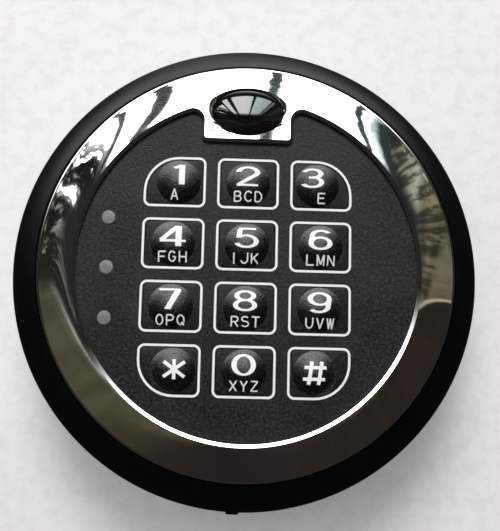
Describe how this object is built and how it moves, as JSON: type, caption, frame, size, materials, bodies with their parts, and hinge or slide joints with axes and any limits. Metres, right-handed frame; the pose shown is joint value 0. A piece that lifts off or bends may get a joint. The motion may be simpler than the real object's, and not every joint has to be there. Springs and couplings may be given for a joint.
{
  "type": "electronic safe lock keypad unit",
  "caption": "Round surface-mounted keypad unit of an electronic safe lock, with a chrome ring, domed number keys, indicator windows and a battery drawer that slides out at the bottom.",
  "frame": {"origin": "centre of the face that lies on the safe door, under the middle of the chrome ring", "axes": "+Z out of the door towards the user, +Y up the door to the oval at twelve o'clock, +X to the right; the battery drawer slides out along -Y"},
  "size_m": [0.1054, 0.1064, 0.0329],
  "materials": {
    "housing": "satin moulded black",
    "base_plate": "plain moulded black",
    "bezel_ring": "mirror bright plating",
    "oval_lens": "gloss black",
    "keypad_panel": "plain matt black",
    "keypad_overlay": "finely grained charcoal with white print",
    "keys": "finely grained charcoal with white print",
    "snap_domes": "bright spring steel",
    "windows": "smooth translucent grey",
    "leds": "clear resin over phosphor",
    "circuit_board": "green solder mask",
    "controller_chip": "black epoxy",
    "buzzer": "plain moulded black",
    "cable_socket": "plain moulded white",
    "board_screws": "bright zinc",
    "base_screws": "black zinc",
    "mount_inserts": "turned",
    "battery_drawer": "satin moulded black",
    "battery": "dark grey lacquered jacket",
    "battery_terminals": "nickel plated",
    "battery_contacts": "phosphor bronze leaf"
  },
  "bodies": {
    "root": {"housing": "housing", "base_plate": "base_plate", "bezel_ring": "bezel_ring", "oval_lens": "oval_lens", "keypad_panel": "keypad_panel", "keypad_overlay": "keypad_overlay", "snap_dome_1": "snap_domes", "snap_dome_2": "snap_domes", "snap_dome_3": "snap_domes", "snap_dome_4": "snap_domes", "snap_dome_5": "snap_domes", "snap_dome_6": "snap_domes", "snap_dome_7": "snap_domes", "snap_dome_8": "snap_domes", "snap_dome_9": "snap_domes", "snap_dome_star": "snap_domes", "snap_dome_0": "snap_domes", "snap_dome_hash": "snap_domes", "window_upper": "windows", "window_middle": "windows", "window_lower": "windows", "led_upper": "leds", "led_middle": "leds", "led_lower": "leds", "circuit_board": "circuit_board", "controller_chip": "controller_chip", "buzzer": "buzzer", "cable_socket": "cable_socket", "board_screw_1": "board_screws", "board_screw_2": "board_screws", "board_screw_3": "board_screws", "base_screw_1": "base_screws", "base_screw_2": "base_screws", "base_screw_3": "base_screws", "base_screw_4": "base_screws", "mount_insert_left": "mount_inserts", "mount_insert_right": "mount_inserts", "battery_contact_front": "battery_contacts", "battery_contact_rear": "battery_contacts"},
    "battery_drawer": {"battery_drawer": "battery_drawer", "battery": "battery", "battery_terminal_positive": "battery_terminals", "battery_terminal_negative": "battery_terminals"},
    "key_1": {"key_1": "keys"},
    "key_2": {"key_2": "keys"},
    "key_3": {"key_3": "keys"},
    "key_4": {"key_4": "keys"},
    "key_5": {"key_5": "keys"},
    "key_6": {"key_6": "keys"},
    "key_7": {"key_7": "keys"},
    "key_8": {"key_8": "keys"},
    "key_9": {"key_9": "keys"},
    "key_star": {"key_star": "keys"},
    "key_0": {"key_0": "keys"},
    "key_hash": {"key_hash": "keys"}
  },
  "joints": [
    {"name": "drawer_slide", "type": "slide", "parent": "root", "child": "battery_drawer", "axis": [0, -1, 0], "range_m": [0, 0.037]},
    {"name": "key_1_press", "type": "slide", "parent": "root", "child": "key_1", "axis": [0, 0, -1], "range_m": [0, 0.0005], "stiffness_N_per_m": 1500, "springref_m": -0.0005, "deforming": ["snap_dome_1"]},
    {"name": "key_2_press", "type": "slide", "parent": "root", "child": "key_2", "axis": [0, 0, -1], "range_m": [0, 0.0005], "stiffness_N_per_m": 1500, "springref_m": -0.0005, "deforming": ["snap_dome_2"]},
    {"name": "key_3_press", "type": "slide", "parent": "root", "child": "key_3", "axis": [0, 0, -1], "range_m": [0, 0.0005], "stiffness_N_per_m": 1500, "springref_m": -0.0005, "deforming": ["snap_dome_3"]},
    {"name": "key_4_press", "type": "slide", "parent": "root", "child": "key_4", "axis": [0, 0, -1], "range_m": [0, 0.0005], "stiffness_N_per_m": 1500, "springref_m": -0.0005, "deforming": ["snap_dome_4"]},
    {"name": "key_5_press", "type": "slide", "parent": "root", "child": "key_5", "axis": [0, 0, -1], "range_m": [0, 0.0005], "stiffness_N_per_m": 1500, "springref_m": -0.0005, "deforming": ["snap_dome_5"]},
    {"name": "key_6_press", "type": "slide", "parent": "root", "child": "key_6", "axis": [0, 0, -1], "range_m": [0, 0.0005], "stiffness_N_per_m": 1500, "springref_m": -0.0005, "deforming": ["snap_dome_6"]},
    {"name": "key_7_press", "type": "slide", "parent": "root", "child": "key_7", "axis": [0, 0, -1], "range_m": [0, 0.0005], "stiffness_N_per_m": 1500, "springref_m": -0.0005, "deforming": ["snap_dome_7"]},
    {"name": "key_8_press", "type": "slide", "parent": "root", "child": "key_8", "axis": [0, 0, -1], "range_m": [0, 0.0005], "stiffness_N_per_m": 1500, "springref_m": -0.0005, "deforming": ["snap_dome_8"]},
    {"name": "key_9_press", "type": "slide", "parent": "root", "child": "key_9", "axis": [0, 0, -1], "range_m": [0, 0.0005], "stiffness_N_per_m": 1500, "springref_m": -0.0005, "deforming": ["snap_dome_9"]},
    {"name": "key_star_press", "type": "slide", "parent": "root", "child": "key_star", "axis": [0, 0, -1], "range_m": [0, 0.0005], "stiffness_N_per_m": 1500, "springref_m": -0.0005, "deforming": ["snap_dome_star"]},
    {"name": "key_0_press", "type": "slide", "parent": "root", "child": "key_0", "axis": [0, 0, -1], "range_m": [0, 0.0005], "stiffness_N_per_m": 1500, "springref_m": -0.0005, "deforming": ["snap_dome_0"]},
    {"name": "key_hash_press", "type": "slide", "parent": "root", "child": "key_hash", "axis": [0, 0, -1], "range_m": [0, 0.0005], "stiffness_N_per_m": 1500, "springref_m": -0.0005, "deforming": ["snap_dome_hash"]}
  ]
}
